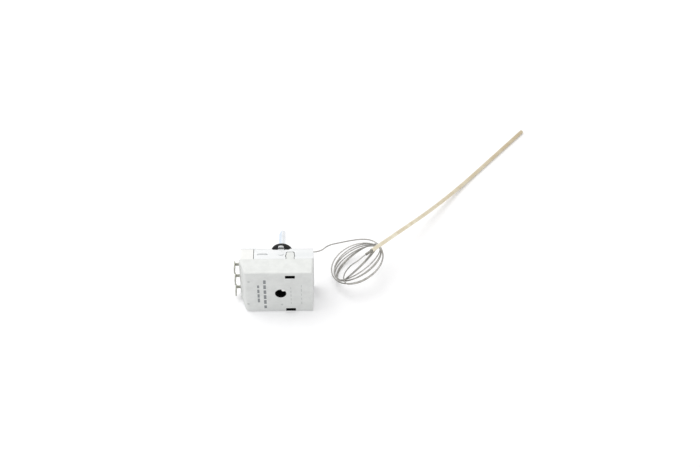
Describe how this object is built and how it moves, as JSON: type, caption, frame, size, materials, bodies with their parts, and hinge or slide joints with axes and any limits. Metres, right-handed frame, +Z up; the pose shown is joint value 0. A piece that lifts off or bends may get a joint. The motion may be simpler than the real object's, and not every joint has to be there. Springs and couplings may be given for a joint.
{
  "type": "capillary-tube temperature control",
  "caption": "Capillary temperature control: sheet-steel bracket with a clip-on rear cover, D-shaft, push-on tabs, coiled capillary and long sensing bulb.",
  "frame": {"origin": "on the shaft's axis at the front face of the mounting plate, midway between its two fixing screws", "axes": "+Y out along the shaft, +Z up as the case lies on its long side, +X towards the side where the capillary leaves"},
  "size_m": [0.2447, 0.216, 0.0444],
  "materials": {
    "cover_moulding": "satin moulded thermoset",
    "zinc_sheet": "zinc-plated sheet",
    "turned_brass": "turned",
    "shaft_steel": "bright ground steel",
    "dark_steel": "black oxide",
    "black_rubber": "matt",
    "stainless_sheet": "pressed stainless",
    "white_base": "matt white",
    "push_pin_ceramic": "ground",
    "terminal_metal": "nickel-plated brass",
    "spring_bronze": "rolled spring strip",
    "contact_silver": "silver",
    "capillary_stainless": "drawn tube",
    "bulb_copper": "pale drawn copper"
  },
  "bodies": {
    "case": {"rear_cover": "cover_moulding", "mounting_bracket": "zinc_sheet", "spindle_bush": "turned_brass", "stop_pin": "shaft_steel", "guide_pins": "shaft_steel", "switch_base": "white_base", "terminal_front": "terminal_metal", "terminal_common": "terminal_metal", "terminal_rear": "terminal_metal", "fixed_contact_front": "contact_silver", "fixed_contact_rear": "contact_silver", "strip_rivets": "turned_brass", "calibration_bridge": "zinc_sheet", "calibration_screw": "turned_brass", "capillary_root": "capillary_stainless", "tube_clip": "zinc_sheet", "capillary_lead": "capillary_stainless", "capillary_coil": "capillary_stainless", "capillary_tail": "capillary_stainless", "bulb_neck": "bulb_copper", "sensing_bulb": "bulb_copper"},
    "shaft": {"spindle": "shaft_steel", "stop_sector": "dark_steel", "retaining_ring": "dark_steel", "shaft_seal": "black_rubber"},
    "capsule": {"setting_nut": "turned_brass", "carrier_plate": "zinc_sheet", "diaphragm_capsule": "stainless_sheet", "capillary_socket": "stainless_sheet", "push_pin": "push_pin_ceramic"},
    "blade": {"contact_blade": "spring_bronze", "moving_contact": "contact_silver"}
  },
  "joints": [
    {"name": "capsule_travel", "type": "slide", "parent": "case", "child": "capsule", "axis": [0, 1, 0], "range_m": [0, 0.00075]},
    {"name": "shaft_turn", "type": "hinge", "parent": "case", "child": "shaft", "pos_m": [0, 0, 0], "axis": [0, -1, 0], "range_deg": [0, 270]},
    {"name": "blade_swing", "type": "hinge", "parent": "case", "child": "blade", "pos_m": [-0.014, -0.0182, 0], "axis": [0, 0, 1], "range_deg": [0, 3.1]}
  ],
  "couplings": [
    {"joint": "shaft_turn", "follows": "capsule_travel", "rad_per_m": 6283.2},
    {"joint": "blade_swing", "follows": "capsule_travel", "rad_per_m": 71.428}
  ]
}
